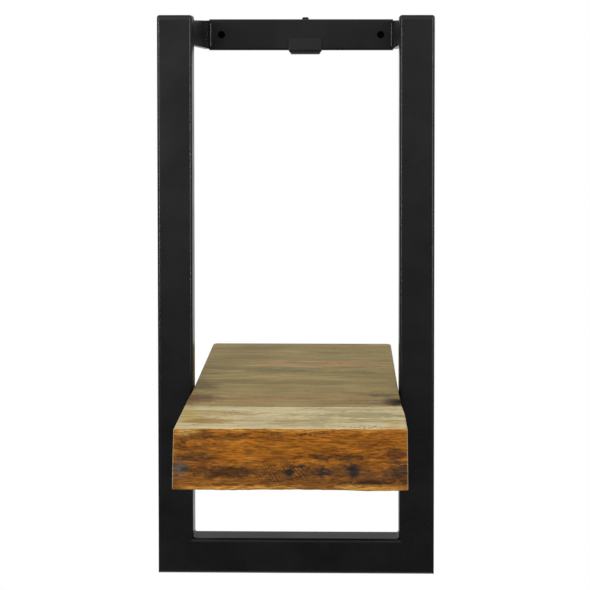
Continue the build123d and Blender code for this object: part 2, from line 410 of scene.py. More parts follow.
@dataclass(frozen=True)
class PlatedSteel(Finish):
    """Steel screws with a thin electroplated or blackened skin.

    The metal stays metal, so the eye sees its tint in the reflections, cloudy where it was handled.
    """

    colour: str = "#b9b7ad"
    roughness: float = 0.34

    def build(self) -> bpy.types.Material:
        """Builds the plated steel.

        Returns:
            Its material.
        """
        material, tree, shader = self.start()
        shader.inputs["Base Color"].default_value = linear(self.colour)
        shader.inputs["Metallic"].default_value = 1.0
        place = add_node(tree, "ShaderNodeTexCoord").outputs["Object"]
        cloud = add_node(tree, "ShaderNodeTexNoise", {
            "Vector": place, "Scale": 1 / (1.5 * MM), "Detail": 3.0,
        })
        wear = add_node(tree, "ShaderNodeMapRange", {
            "Value": cloud.outputs["Fac"], "To Min": self.roughness - 0.1,
            "To Max": self.roughness + 0.12,
        })
        tree.links.new(wear.outputs["Result"], shader.inputs["Roughness"])
        return material


@dataclass(frozen=True)
class Mark:
    """A knot, stain, streak, painted shade or painted highlight on one face of a stave, placed in twentieths
    of that face.
    """

    what: str
    across: float
    down: float
    length_mm: float
    width_mm: float
    colour: str
    depth: float = 0.8
    ragged: float = 0.9
    specks: bool = False


@dataclass(frozen=True)
class Face:
    """The face of a stave that marks lie on: across runs -1 to 1 in X, down runs 0 to 1."""

    low: Vector
    high: Vector
    upright: bool = False
    into_mm: float = 12.0

    def centre(self, mark: Mark) -> tuple[float, float, float]:
        """Place of a mark: down runs to the front on a top face, and to the foot on the edge.

        Args:
            mark: the mark.

        Returns:
            Its centre in metres.
        """
        x = (self.low.x + self.high.x) / 2 + mark.across * (self.high.x - self.low.x) / 2
        if self.upright:
            return (x, self.low.y, self.high.z - mark.down * (self.high.z - self.low.z))
        return (x, self.high.y - mark.down * (self.high.y - self.low.y), self.high.z)

    def reach(self, mark: Mark) -> tuple[float, float, float]:
        """Half sizes of a mark in metres, with how far it goes into the wood."""
        sides = (self.into_mm, mark.width_mm) if self.upright else (mark.width_mm, self.into_mm)
        return tuple(size * MM for size in (mark.length_mm, *sides))


@dataclass(frozen=True)
class Wood(Finish):
    """Acacia, planed and oiled.

    Planing leaves long fibres and open pores along X, and oil deepens the tone with only a soft
    sheen, so the eye sees streaks of colour and almost no reflection. Fibres and pores are drawn
    several times as wide as in real wood, where they would be too fine to show.
    """

    ramp: tuple[tuple[float, str], ...] = ((0.3, "#5b4b33"), (0.5, "#7d6a4a"), (0.7, "#94815c"))
    figure_mm: tuple[float, float, float] = (150.0, 15.0, 15.0)
    fibre_mm: tuple[float, float, float] = (34.0, 1.3, 1.3)
    pore_mm: tuple[float, float, float] = (9.0, 0.8, 0.8)
    pore_colour: str = "#3b2a18"
    contrast: float = 0.2
    roughness: float = 0.55
    specular: float = 0.12
    relief_mm: float = 0.1
    marks: tuple[Mark, ...] = ()
    face: Face | None = None

    def build(self) -> bpy.types.Material:
        """Builds the wood.

        Returns:
            Its material.
        """
        material, tree, shader = self.start()
        place = add_node(tree, "ShaderNodeTexCoord").outputs["Object"]
        colour, height = self.grain(tree, place)
        colour = self.lay_marks(tree, place, colour, height)
        bump = add_node(tree, "ShaderNodeBump", {
            "Height": height, "Strength": 0.6, "Distance": self.relief_mm * MM,
        })
        tree.links.new(colour, shader.inputs["Base Color"])
        tree.links.new(bump.outputs["Normal"], shader.inputs["Normal"])
        shader.inputs["Roughness"].default_value = self.roughness
        shader.inputs["Specular IOR Level"].default_value = self.specular
        return material

    def streaks(
        self, tree: bpy.types.NodeTree, place: bpy.types.NodeSocket, size_mm: tuple[float, ...],
        detail: float = 3.0, distortion: float = 0.0,
    ) -> bpy.types.NodeSocket:
        """Soft pattern of the wood, drawn out along the grain.

        Args:
            tree: the node tree.
            place: object coordinates.
            size_mm: its size along each axis.
            detail: how many finer sizes it has.
            distortion: how much it wanders.

        Returns:
            The pattern's value.
        """
        scaled = add_node(tree, "ShaderNodeMapping", {"Vector": place, "Scale": per_metre(*size_mm)})
        return add_node(tree, "ShaderNodeTexNoise", {
            "Vector": scaled.outputs["Vector"], "Scale": 1.0, "Detail": detail, "Distortion": distortion,
        }).outputs["Fac"]

    def grain(
        self, tree: bpy.types.NodeTree, place: bpy.types.NodeSocket
    ) -> tuple[bpy.types.NodeSocket, bpy.types.NodeSocket]:
        """Long figure, fibres and pores.

        Args:
            tree: the node tree.
            place: object coordinates.

        Returns:
            Colour and relief height.
        """
        figure = self.streaks(tree, place, self.figure_mm, 6.0, 0.7)
        tone = add_node(tree, "ShaderNodeValToRGB", {"Fac": figure}, stops=self.ramp)
        fibre = self.streaks(tree, place, self.fibre_mm, 3.0)
        shade = add_node(tree, "ShaderNodeMapRange", {
            "Value": fibre, "From Min": 0.3, "From Max": 0.7,
            "To Min": 1 - self.contrast, "To Max": 1 + self.contrast,
        }, interpolation_type="SMOOTHSTEP")
        shaded = add_node(tree, "ShaderNodeMix", {
            0: 1.0, 6: tone.outputs["Color"], 7: shade.outputs["Result"],
        }, data_type="RGBA", blend_type="MULTIPLY")
        pore = self.streaks(tree, place, self.pore_mm, 1.0)
        pit = add_node(tree, "ShaderNodeMapRange", {
            "Value": pore, "From Min": 0.64, "From Max": 0.72,
        }, interpolation_type="SMOOTHSTEP").outputs["Result"]
        filled = add_node(tree, "ShaderNodeMath", {0: pit, 1: 0.45}, operation="MULTIPLY")
        pored = add_node(tree, "ShaderNodeMix", {
            0: filled.outputs["Value"], 6: shaded.outputs[2], 7: linear(self.pore_colour),
        }, data_type="RGBA")
        height = add_node(tree, "ShaderNodeMath", {0: fibre, 1: pit}, operation="SUBTRACT")
        return pored.outputs[2], height.outputs["Value"]

    def lay_marks(
        self, tree: bpy.types.NodeTree, place: bpy.types.NodeSocket, colour: bpy.types.NodeSocket,
        height: bpy.types.NodeSocket,
    ) -> bpy.types.NodeSocket:
        """Lays the marks over the grain, their edges torn by three sizes of noise.

        Args:
            tree: the node tree.
            place: object coordinates.
            colour: the wood's colour so far.
            height: relief of the grain, which still shows in a mark.

        Returns:
            The wood's colour with its marks.
        """
        if not self.marks:
            return colour
        torn = self.streaks(tree, place, (24.0, 6.0, 6.0), 2.0)
        finer = (((8.0, 2.2, 2.2), 0.8), ((3.0, 1.0, 1.0), 0.55))
        for size_mm, weight in finer:
            torn = add_node(tree, "ShaderNodeMath", {
                0: self.streaks(tree, place, size_mm, 2.0), 1: weight, 2: torn,
            }, operation="MULTIPLY_ADD").outputs["Value"]
        dots = add_node(tree, "ShaderNodeMapping", {"Vector": place, "Scale": per_metre(3.6, 2.6, 2.6)})
        near = add_node(tree, "ShaderNodeTexVoronoi", {"Vector": dots.outputs["Vector"], "Scale": 1.0})
        speck = add_node(tree, "ShaderNodeMapRange", {
            "Value": near.outputs["Distance"], "From Min": 0.26, "From Max": 0.36,
            "To Min": 1.0, "To Max": 0.0,
        }, interpolation_type="SMOOTHSTEP").outputs["Result"]
        shade = add_node(tree, "ShaderNodeMapRange", {
            "Value": height, "From Min": 0.25, "From Max": 0.75, "To Min": 0.55, "To Max": 1.5,
        }, interpolation_type="SMOOTHSTEP").outputs["Result"]
        mean = 0.5 * (1 + sum(weight for _, weight in finer))
        for mark in self.marks:
            spot = add_node(tree, "ShaderNodeMapping", {
                "Vector": place, "Location": self.face.centre(mark), "Scale": self.face.reach(mark),
            }, vector_type="TEXTURE", label=mark.what)
            far = add_node(tree, "ShaderNodeVectorMath", {0: spot.outputs["Vector"]}, operation="LENGTH")
            edge = add_node(tree, "ShaderNodeMath", {
                0: torn, 1: mark.ragged * 2, 2: far.outputs["Value"],
            }, operation="MULTIPLY_ADD")
            middle = 0.9 + mark.ragged * 2 * mean
            cover = add_node(tree, "ShaderNodeMapRange", {
                "Value": edge.outputs["Value"], "From Min": middle - 0.5, "From Max": middle + 0.3,
                "To Min": mark.depth, "To Max": 0.0,
            }, interpolation_type="SMOOTHSTEP").outputs["Result"]
            if mark.specks:
                cover = add_node(tree, "ShaderNodeMath", {0: cover, 1: speck},
                                 operation="MULTIPLY").outputs["Value"]
            stain = add_node(tree, "ShaderNodeMix", {0: 1.0, 6: linear(mark.colour), 7: shade},
                             data_type="RGBA", blend_type="MULTIPLY")
            colour = add_node(tree, "ShaderNodeMix", {0: cover, 6: colour, 7: stain.outputs[2]},
                              data_type="RGBA").outputs[2]
        return colour


# ---------------------------------------------------------------- frame

PLATES = {
    "left_arm": "left_arm_plate", "right_arm": "right_arm_plate",
    "support_plate": "bearing_plate", "wall_hook": "hook_strap",
}


@dataclass
class SteelFrame:
    """The welded frame, its caps, its hook and its screws."""

    tubes: tuple[str, ...] = ("left_upright", "right_upright", "bottom_rail", "wall_rail")
    caps: tuple[str, ...] = ("left_end_cap", "right_end_cap")
    plate_edge: float = 0.6 * MM
    pad_radius: float = 8.0 * MM
    pad_lip: float = 1.2 * MM
    pad_dish: float = 0.4 * MM
    pad_edge: float = 0.5 * MM
    merge: float = 0.01 * MM
    flat_face: float = 40 * MM * MM
    hook_floor: float = -15 * MM
    hook_slack: float = 1.0 * MM

    def build(self) -> None:
        """Dresses the nodes that stay, adds the pads, whose black paints the shade seen through the rail's
        holes, and models the plates with broken edges.
        """
        coat = PowderCoat("black powder coat").build()
        hook_coat = PowderCoat("black hook coat", colour="#111112", roughness=0.34).build()
        plastic = MouldedPlastic("moulded cap plastic").build()
        zinc = PlatedSteel("zinc plate").build()
        black_oxide = PlatedSteel("black oxide", colour="#26262a", roughness=0.4).build()
        for node in (*self.tubes, "frame_welds"):
            self.dress(node, coat)
        for node in self.caps:
            self.dress(node, plastic)
        self.dress("slab_screws", zinc)
        # painted shade: the pads are black so that they fill the rail's screw holes with the shade of the
        # wall behind
        self.pads_and_hole_shade(MouldedPlastic("black pads, painted hole shade", colour="#0b0b0b", roughness=0.7).build())
        self.dress("lock_screw", black_oxide)
        for node in PLATES:
            self.plate(node, hook_coat if node == "wall_hook" else coat)

    def pads_and_hole_shade(self, material: bpy.types.Material) -> None:
        """Rubber pads behind the rail's screw holes, as thick as the hook's plate. Solid and black, they
        also stand in for the wall's shade seen through the holes: painted shade.

        Args:
            material: their rubber.
        """
        screws = next(mount for mount in frame["record"]["mounts"] if mount["name"] == "wall_screws")
        hole_x = screws["dims"]["spacing_x_mm"] * MM / 2
        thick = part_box("wall_hook")[1].y
        pads = [self.pad(side * hole_x, thick) for side in (-1, 1)]
        piece = pads[0]
        activate(piece)
        for pad in pads[1:]:
            pad.select_set(True)
        bpy.ops.object.join()
        piece.name = "pads_and_hole_shade"
        piece.data.materials.append(material)
        bpy.ops.object.shade_smooth_by_angle(angle=math.radians(35))
        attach(piece, BODY)
        log.info("modelled %s", piece.name)

    def pad(self, x: float, thick: float) -> bpy.types.Object:
        """One dished pad with a rounded rim.

        Args:
            x: its place across the rail.
            thick: its thickness.

        Returns:
            The pad.
        """
        bpy.ops.object.select_all(action="DESELECT")
        bpy.ops.mesh.primitive_cylinder_add(
            vertices=48, radius=self.pad_radius, depth=thick,
            location=(x, thick / 2, 0), rotation=(math.radians(90), 0, 0),
        )
        bpy.ops.object.transform_apply(location=True, rotation=True, scale=True)
        pad = bpy.context.active_object
        bpy.ops.object.mode_set(mode="EDIT")
        pick(pad, Part.FACE, lambda f: abs(f.normal.y) > 0.9)
        bpy.ops.mesh.inset(thickness=self.pad_lip, depth=-self.pad_dish, use_individual=True)

        def on_rim(edge: bmesh.types.BMEdge) -> bool:
            """Whether an edge runs round the pad's outside.

            Args:
                edge: the edge.

            Returns:
                True if it does.
            """
            first, second = (vert.co for vert in edge.verts)
            out = math.hypot(first.x - x, first.z)
            return abs(out - self.pad_radius) < 0.1 * MM and abs(first.y - second.y) < 0.1 * MM

        pick(pad, Part.EDGE, on_rim)
        bpy.ops.mesh.bevel(offset=self.pad_edge, segments=3, affect="EDGES")
        bpy.ops.object.mode_set(mode="OBJECT")
        return pad

    def dress(self, node: str, material: bpy.types.Material) -> None:
        """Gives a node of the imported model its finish.

        Args:
            node: the node.
            material: its finish.
        """
        mesh = frame["nodes"][node].data
        mesh.materials.clear()
        mesh.materials.append(material)
        log.info("dressed %s", node)

    def plate(self, node: str, material: bpy.types.Material) -> None:
        """Models a plate again from a merged copy, with its edges broken.

        The hook's floor and lip are drawn hook_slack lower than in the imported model.

        Args:
            node: the node that the new piece stands for.
            material: its finish.
        """
        source = frame["nodes"][node]
        piece = source.copy()
        piece.data = source.data.copy()
        piece.parent = None
        piece.name = PLATES[node]
        bpy.context.scene.collection.objects.link(piece)
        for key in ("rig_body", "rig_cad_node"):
            del piece[key]
        activate(piece)
        bpy.ops.object.mode_set(mode="EDIT")
        bpy.ops.mesh.select_all(action="SELECT")
        bpy.ops.mesh.remove_doubles(threshold=self.merge)
        bpy.ops.mesh.dissolve_limited(angle_limit=math.radians(1))
        bpy.ops.object.mode_set(mode="OBJECT")
        edge = piece.modifiers.new("broken edges", "BEVEL")
        edge.width = self.plate_edge
        edge.segments = 3
        edge.limit_method = "ANGLE"
        edge.angle_limit = math.radians(40)
        bpy.ops.object.modifier_apply(modifier=edge.name)
        bpy.ops.object.shade_smooth_by_angle(angle=math.radians(35))
        bpy.ops.object.mode_set(mode="EDIT")
        pick(piece, Part.FACE, lambda f: f.calc_area() > self.flat_face)
        bpy.ops.mesh.faces_shade_flat()
        if node == "wall_hook":
            pick(piece, Part.VERT, lambda v: v.co.z < self.hook_floor)
            bpy.ops.transform.translate(value=(0, 0, -self.hook_slack))
        bpy.ops.object.mode_set(mode="OBJECT")
        piece.data.materials.clear()
        piece.data.materials.append(material)
        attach(piece, BODY)
        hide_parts(node)
        log.info("modelled %s", piece.name)


# ---------------------------------------------------------------- slab

HEARTWOOD_MARKS = (
    Mark("knot", 0.95, 0.9, 15, 12, "#1d1812", 1.0, 0.3),
    Mark("smoke behind the knot", 0.85, 0.75, 22, 7, "#46382a", 0.75),
    Mark("worm holes beside the knot", 0.7, 0.9, 32, 7, "#3b2d1d", 0.85, 0.4, specks=True),
    Mark("reddish band", 0.0, 0.85, 130, 12, "#8a6a44", 0.5),
    Mark("red brown end", -0.9, 0.85, 24, 14, "#63462b", 0.75),
    # painted shade: this dark olive spot sits where the left upright stands on the slab, in place of its
    # shadow there
    Mark("painted shade by the left upright", -0.9, 0.55, 16, 15, "#5a4a31", 0.7),
    Mark("olive streak", -0.1, 0.1, 55, 8, "#656043", 0.6),
    Mark("short olive streak", 0.6, 0.15, 24, 7, "#5c573c", 0.6),
    Mark("pale brown cloud", 0.3, 0.6, 60, 14, "#857350", 0.4),
)
REAR_MARKS = (
    Mark("red band", 0.2, 0.85, 100, 9, "#94694a", 0.6),
    Mark("olive streak", 0.5, 0.4, 60, 8, "#6f6243", 0.5),
    Mark("olive streak at the wall", -0.5, 0.2, 40, 8, "#746546", 0.5),
)
SAPWOOD_MARKS = (
    Mark("flame", 0.6, 0.4, 60, 9, "#8b8157", 0.8),
    Mark("flame's front tongue", 0.75, 0.65, 45, 5, "#92865b", 0.75),
    Mark("flame's rear tongue", 0.5, 0.15, 50, 4, "#9a8c62", 0.7),
    Mark("thin line", 0.35, 0.6, 45, 3, "#948a60", 0.6),
    Mark("warm streak", -0.75, 0.65, 35, 9, "#8d7038", 0.75),
    Mark("warm streak behind it", -0.65, 0.35, 40, 7, "#95804c", 0.7),
    Mark("yellow end", -0.95, 0.4, 10, 20, "#a78a4c", 0.6),
    Mark("worm holes at the edge", 0.65, 0.9, 30, 6, "#3f3020", 0.9, 0.4, specks=True),
    Mark("worm holes", -0.55, 0.3, 12, 7, "#5f5034", 0.7, 0.4, specks=True),
    Mark("dull cloud", 0.1, 0.7, 40, 12, "#8a7a52", 0.5, 0.8),
    Mark("glue line's shade", 0.0, 0.0, 150, 4.5, "#7d6840", 0.9, 0.35),
    Mark("yellow corner", 0.9, 0.9, 9, 12, "#b08a48", 0.6),
)
LIVE_EDGE_MARKS = (
    # painted shade: the lower half of the live edge is darkened as if it got less of the light from above
    Mark("painted shade on the lower half", 0.0, 0.9, 170, 24, "#62401f", 0.5, 0.4),
    Mark("dull left end", -0.85, 0.25, 30, 40, "#5d3814", 0.5, 0.5),
    # painted highlight: the rounded top arris is painted brighter where it turns up to the light
    Mark("painted highlight along the arris", 0.0, 0.0, 125, 3.5, "#b8873c", 0.75, 0.5),
    Mark("pale corner", -0.9, 0.05, 18, 5, "#b48d4c", 0.8, 0.5),
    Mark("stain under the arris", -0.65, 0.1, 42, 5, "#3a2413", 0.95, 0.6),
    Mark("fine cracks under the arris", 0.1, 0.1, 110, 6, "#3a2413", 0.9, 0.4, specks=True),
    Mark("stain at the left end", -0.95, 0.2, 7, 5, "#33200f", 0.9, 0.6),
    Mark("stain halfway down", -0.85, 0.45, 22, 4, "#3c2a1b", 0.85),
    Mark("grey end", -0.95, 0.65, 9, 10, "#4a4640", 0.85, 0.6),
    Mark("long low stain", -0.6, 0.7, 38, 6, "#38220f", 0.85),
    Mark("streak right of the middle", 0.45, 0.45, 32, 4, "#33200f", 0.85),
    Mark("brown right end", 0.9, 0.4, 17, 11, "#4c2a12", 0.85),
    Mark("black right end", 0.95, 0.7, 15, 11, "#2d2019", 0.9),
    Mark("shade below the streak", 0.5, 0.7, 65, 12, "#4a3018", 0.65),
    Mark("low line", 0.75, 0.85, 38, 2, "#2f1d10", 0.85),
    Mark("pale strip at the foot", 0.75, 0.95, 38, 3, "#a87a34", 0.85, 0.6),
    Mark("pale strip at the left foot", -0.5, 0.95, 60, 2.5, "#b07a30", 0.7),
    Mark("ink spot", 0.0, 0.7, 5, 6, "#181a1d", 0.95),
    Mark("small ink spot", 0.1, 0.6, 4, 3, "#1b1c1e", 0.9),
    Mark("branched ink spot", 0.3, 0.7, 8, 7, "#1c1d20", 0.9),
    Mark("round ink spot", 0.55, 0.65, 7, 7, "#1a1b1d", 0.9),
)


@dataclass(frozen=True)
class LiveEdge(Wood):
    """The tree's own outside, debarked, brushed and oiled.

    It keeps the hollows that the bark left and takes more oil than planed wood, so the eye sees
    orange long grain, dark stains, and the crossed marks of a saw where it was trimmed.
    """

    saw_spacing_mm: float = 2.8
    saw_area: Mark = Mark("crossed saw marks", -0.05, 0.7, 36, 12, "#2b2018")

    def lay_marks(
        self, tree: bpy.types.NodeTree, place: bpy.types.NodeSocket, colour: bpy.types.NodeSocket,
        height: bpy.types.NodeSocket,
    ) -> bpy.types.NodeSocket:
        """Lays the stains, the painted shade and the painted highlight, then two sets of crossing saw marks
        in one area.

        Args:
            tree: the node tree.
            place: object coordinates.
            colour: the wood's colour so far.
            height: relief of the grain.

        Returns:
            The wood's colour with its marks.
        """
        colour = super().lay_marks(tree, place, colour, height)
        spot = add_node(tree, "ShaderNodeMapping", {
            "Vector": place, "Location": self.face.centre(self.saw_area),
            "Scale": self.face.reach(self.saw_area),
        }, vector_type="TEXTURE", label=self.saw_area.what)
        far = add_node(tree, "ShaderNodeVectorMath", {0: spot.outputs["Vector"]}, operation="LENGTH")
        area = add_node(tree, "ShaderNodeMapRange", {
            "Value": far.outputs["Value"], "From Min": 0.55, "From Max": 1.1, "To Min": 1.0, "To Max": 0.0,
        }, interpolation_type="SMOOTHSTEP").outputs["Result"]
        worn = add_node(tree, "ShaderNodeMapRange", {
            "Value": self.streaks(tree, place, (9.0, 9.0, 5.0)), "From Min": 0.42, "From Max": 0.56,
        }, interpolation_type="SMOOTHSTEP").outputs["Result"]
        left = add_node(tree, "ShaderNodeMath", {0: area, 1: worn}, operation="MULTIPLY").outputs["Value"]
        for turn, share in ((38, 1.0), (-44, 0.5)):
            across = add_node(tree, "ShaderNodeMapping", {
                "Vector": place, "Rotation": (0, math.radians(turn), 0),
                "Scale": per_metre(*(self.saw_spacing_mm,) * 3),
            })
            lines = add_node(tree, "ShaderNodeTexWave", {
                "Vector": across.outputs["Vector"], "Scale": 2 / math.tau, "Distortion": 5.5,
                "Detail": 4.0, "Detail Scale": 0.9,
            }, wave_type="BANDS", bands_direction="X")
            cut = add_node(tree, "ShaderNodeMapRange", {
                "Value": lines.outputs["Fac"], "From Min": 0.7, "From Max": 1.0, "To Max": share,
            }, interpolation_type="SMOOTHSTEP")
            cover = add_node(tree, "ShaderNodeMath", {
                0: cut.outputs["Result"], 1: left,
            }, operation="MULTIPLY")
            colour = add_node(tree, "ShaderNodeMix", {
                0: cover.outputs["Value"], 6: colour, 7: linear(self.saw_area.colour),
            }, data_type="RGBA").outputs[2]
        return colour


@dataclass(frozen=True)
class EndGrain(Wood):
    """The slab's ends, cross cut and oiled.

    The saw cuts the fibres across, so they soak up oil: the eye sees a darker, duller face with
    uneven growth rings about a pith below the slab, and open pores. The pores are drawn several
    times as wide as real ones, which would be too fine to show.
    """

    pith_mm: tuple[float, float, float] = (0.0, -140.0, -540.0)
    ring_mm: float = 6.0

    def grain(
        self, tree: bpy.types.NodeTree, place: bpy.types.NodeSocket
    ) -> tuple[bpy.types.NodeSocket, bpy.types.NodeSocket]:
        """Uneven rings and pores.

        Args:
            tree: the node tree.
            place: object coordinates.

        Returns:
            Colour and relief height.
        """
        centred = add_node(tree, "ShaderNodeMapping", {
            "Vector": place, "Location": tuple(c * MM for c in self.pith_mm),
            "Scale": (1.0, MM, MM),
        }, vector_type="TEXTURE")
        flat = add_node(tree, "ShaderNodeVectorMath", {
            0: centred.outputs["Vector"], 1: (0, 1, 1),
        }, operation="MULTIPLY")
        radius = add_node(tree, "ShaderNodeVectorMath", {0: flat.outputs["Vector"]}, operation="LENGTH")
        wander = self.streaks(tree, place, (60.0, 35.0, 35.0), 2.0)
        bent = add_node(tree, "ShaderNodeMath", {
            0: wander, 1: 26.0, 2: radius.outputs["Value"],
        }, operation="MULTIPLY_ADD")
        scaled = add_node(tree, "ShaderNodeMath", {
            0: bent.outputs["Value"], 1: self.ring_mm,
        }, operation="DIVIDE")
        rings = add_node(tree, "ShaderNodeTexNoise", {
            "W": scaled.outputs["Value"], "Scale": 1.0, "Detail": 3.0, "Roughness": 0.6,
        }, noise_dimensions="1D").outputs["Fac"]
        patch = self.streaks(tree, place, (40.0, 18.0, 12.0), 3.0)
        both = add_node(tree, "ShaderNodeMix", {0: 0.4, 2: rings, 3: patch}, data_type="FLOAT").outputs[0]
        tone = add_node(tree, "ShaderNodeValToRGB", {"Fac": both}, stops=self.ramp).outputs["Color"]
        pore = self.streaks(tree, place, (2.0, 0.9, 0.9), 2.0)
        pit = add_node(tree, "ShaderNodeMapRange", {
            "Value": pore, "From Min": 0.56, "From Max": 0.66,
        }, interpolation_type="SMOOTHSTEP")
        shade = add_node(tree, "ShaderNodeMapRange", {
            "Value": pore, "From Min": 0.35, "From Max": 0.7, "To Min": 1.08, "To Max": 0.82,
        }, interpolation_type="SMOOTHSTEP")
        tone = add_node(tree, "ShaderNodeMix", {0: 1.0, 6: tone, 7: shade.outputs["Result"]},
                        data_type="RGBA", blend_type="MULTIPLY").outputs[2]
        height = add_node(tree, "ShaderNodeMath", {0: 1.0, 1: pit.outputs["Result"]}, operation="SUBTRACT")
        return tone, height.outputs["Value"]


@dataclass
class Slab:
    """The slab's three staves, glued edge to edge, with the live edge in front."""

    arris: float = 1.0 * MM
    live_arris: float = 2.2 * MM
    wall_corner: float = 5.0 * MM
    slope: float = 9.0 * MM
    relief: tuple[tuple[float, float, float], ...] = (
        (4.2, 60.0, 2.0), (2.0, 20.0, 3.0), (1.0, 7.0, 3.0), (0.5, 2.6, 2.5),
    )

    def build(self) -> None:
        """Models the three staves."""
        self.end_grain = EndGrain("sawn end grain", ramp=(
            (0.3, "#5d4527"), (0.5, "#7d6139"), (0.7, "#97794a"),
        ), roughness=0.62).build()
        heart = ((0.25, "#74643f"), (0.5, "#857449"), (0.75, "#948458"))
        rear = ((0.25, "#796a43"), (0.5, "#8a794f"), (0.75, "#98885d"))
        self.front_stave()
        self.square_stave("slab_middle_stave", "middle_stave", "heartwood", Wood(
            "oiled heartwood", ramp=heart, marks=HEARTWOOD_MARKS, face=Face(*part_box("slab_middle_stave")),
        ))
        self.square_stave("slab_rear_stave", "rear_stave", "rear_heartwood", Wood(
            "oiled rear heartwood", ramp=rear, marks=REAR_MARKS, face=Face(*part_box("slab_rear_stave")),
        ))

    def finish(self, piece: bpy.types.Object, node: str, slot: str) -> None:
        """Smooths a finished stave's shading, hangs it on the body and hides the node that it stands for.

        Args:
            piece: the stave.
            node: the node that it stands for.
            slot: its slot in the record; not used.
        """
        activate(piece)
        bpy.ops.object.shade_smooth_by_angle(angle=math.radians(50))
        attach(piece, BODY)
        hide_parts(node)
        log.info("modelled %s", piece.name)

    def assign(self, piece: bpy.types.Object, index: int, wanted: Callable[..., bool]) -> None:
        """Gives the faces that pass a test the material in one of the piece's slots.

        Args:
            piece: the stave, in object mode.
            index: the slot of the material.
            wanted: says of one face whether it gets the material.
        """
        bpy.ops.object.mode_set(mode="EDIT")
        pick(piece, Part.FACE, wanted)
        piece.active_material_index = index
        bpy.ops.object.material_slot_assign()
        bpy.ops.object.mode_set(mode="OBJECT")

    def widen(self, piece: bpy.types.Object) -> None:
        """Lets the ends run out a little in front of the uprights, more on the right.

        Args:
            piece: the stave, in object mode.
        """
        reach = piece.dimensions.x / 2

        def run_out(side: int, near: float, far: float) -> Callable[[Vector], float]:
            """Grows from near to far along the end on one side."""
            return lambda co: max(0.0, side * co.x / reach) * smooth(co.y, near * MM, far * MM)

        steps = ((-1, -148, -180, -1.3), (-1, -180, -250, -1.0), (1, -150, -182, 0.6), (1, -180, -216, 2.1))
        for side, near, far, amount in steps:
            group = weigh(piece, "end", run_out(side, near, far))
            carve(piece, group, "X", amount * MM)

    def front_stave(self) -> None:
        """The stave with the live edge: wavy, and sloping out towards its foot."""
        low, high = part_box("slab_front_stave")
        low.x, high.x = (corner.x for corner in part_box("slab_middle_stave"))
        top_front = low.y + self.slope
        piece = box_piece("front_stave", Vector((low.x, top_front, low.z)), high)
        pick(piece, Part.VERT, lambda v: v.co.y < top_front + MM and v.co.z < low.z + MM)
        bpy.ops.transform.translate(value=(0, -self.slope, 0))
        pick(piece, Part.EDGE, lambda e: along(0, MM)(e) and e.verts[0].co.y < top_front + MM)
        bpy.ops.mesh.bevel(offset=self.live_arris, segments=4, affect="EDGES")
        joint = high.y - 0.1 * MM
        middle = (low.x + high.x) / 2
        for side in (-1, 1):
            pick(piece, Part.EDGE, lambda e: all(side * (v.co.x - middle) > 0.1 for v in e.verts)
                 and not all(v.co.y > joint for v in e.verts))
            bpy.ops.mesh.bevel(offset=self.arris, segments=3, affect="EDGES")
        cut_grid(piece, 0, 99, 20 * MM)
        cut_grid(piece, 0, 1, 2 * MM)
        cut_grid(piece, 1, 24, 20 * MM)
        cut_grid(piece, 2, 49, 20 * MM)
        bpy.ops.object.mode_set(mode="OBJECT")
        sap = ((0.25, "#a5966a"), (0.5, "#b7a880"), (0.75, "#c1b48c"))
        edge = ((0.25, "#4a290b"), (0.44, "#7a480f"), (0.6, "#905714"), (0.8, "#b07628"))
        top = Face(Vector((low.x, top_front, low.z)), high)
        piece.data.materials.append(Wood("oiled sapwood", ramp=sap, marks=SAPWOOD_MARKS, face=top).build())
        piece.data.materials.append(LiveEdge(
            "oiled live edge", ramp=edge, figure_mm=(34.0, 9.0, 4.5), fibre_mm=(9.0, 1.2, 1.1),
            contrast=0.36, relief_mm=0.35, roughness=0.45, marks=LIVE_EDGE_MARKS,
            face=Face(low, high, upright=True),
        ).build())
        piece.data.materials.append(self.end_grain)
        self.assign(piece, 1, lambda f: f.normal.y < -0.5 and abs(f.normal.x) < 0.5)
        self.assign(piece, 2, lambda f: abs(f.normal.x) > 0.75)
        edge_reach = 14 * MM

        def live(co: Vector) -> float:
            """Full on the live edge, none where the stave is square."""
            lean = self.slope * (high.z - co.z) / (high.z - low.z)
            return 1 - smooth(co.y, top_front - lean + MM, top_front - lean + edge_reach)

        front = weigh(piece, "live edge", live)
        for spread, grain, stretch in self.relief:
            carve(piece, front, "Y", spread * MM, grain=grain * MM, stretch=stretch)
        self.widen(piece)
        self.finish(piece, "slab_front_stave", "sapwood")

    def square_stave(self, node: str, name: str, slot: str, finish: Wood) -> None:
        """A stave with square joints and broken ends, its corners at the wall rounded.

        Args:
            node: the node that the stave stands for.
            name: the stave's name.
            slot: its slot in the record.
            finish: its planed wood.
        """
        low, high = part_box(node)
        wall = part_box("slab_rear_stave")[1].y
        piece = box_piece(name, low, high)
        if high.y > wall - MM:
            pick(piece, Part.EDGE, lambda e: along(2, MM)(e) and e.verts[0].co.y > wall - MM)
            bpy.ops.mesh.bevel(offset=self.wall_corner, segments=8, affect="EDGES")
            pick(piece, Part.EDGE, lambda e: not all(v.co.y < low.y + MM for v in e.verts)
                 and abs(e.verts[0].co.z - e.verts[1].co.z) < MM)
            bpy.ops.mesh.bevel(offset=self.arris, segments=3, affect="EDGES")
        else:
            pick(piece, Part.EDGE, along(1, 10 * MM))
            bpy.ops.mesh.bevel(offset=self.arris, segments=3, affect="EDGES")
        cut_grid(piece, 0, 79, 20 * MM)
        cut_grid(piece, 1, 39, 20 * MM)
        cut_grid(piece, 2, 19, 20 * MM)
        bpy.ops.object.mode_set(mode="OBJECT")
        self.widen(piece)
        piece.data.materials.append(finish.build())
        piece.data.materials.append(self.end_grain)
        self.assign(piece, 1, lambda f: abs(f.normal.x) > 0.75)
        self.finish(piece, node, slot)


# ---------------------------------------------------------------- studio

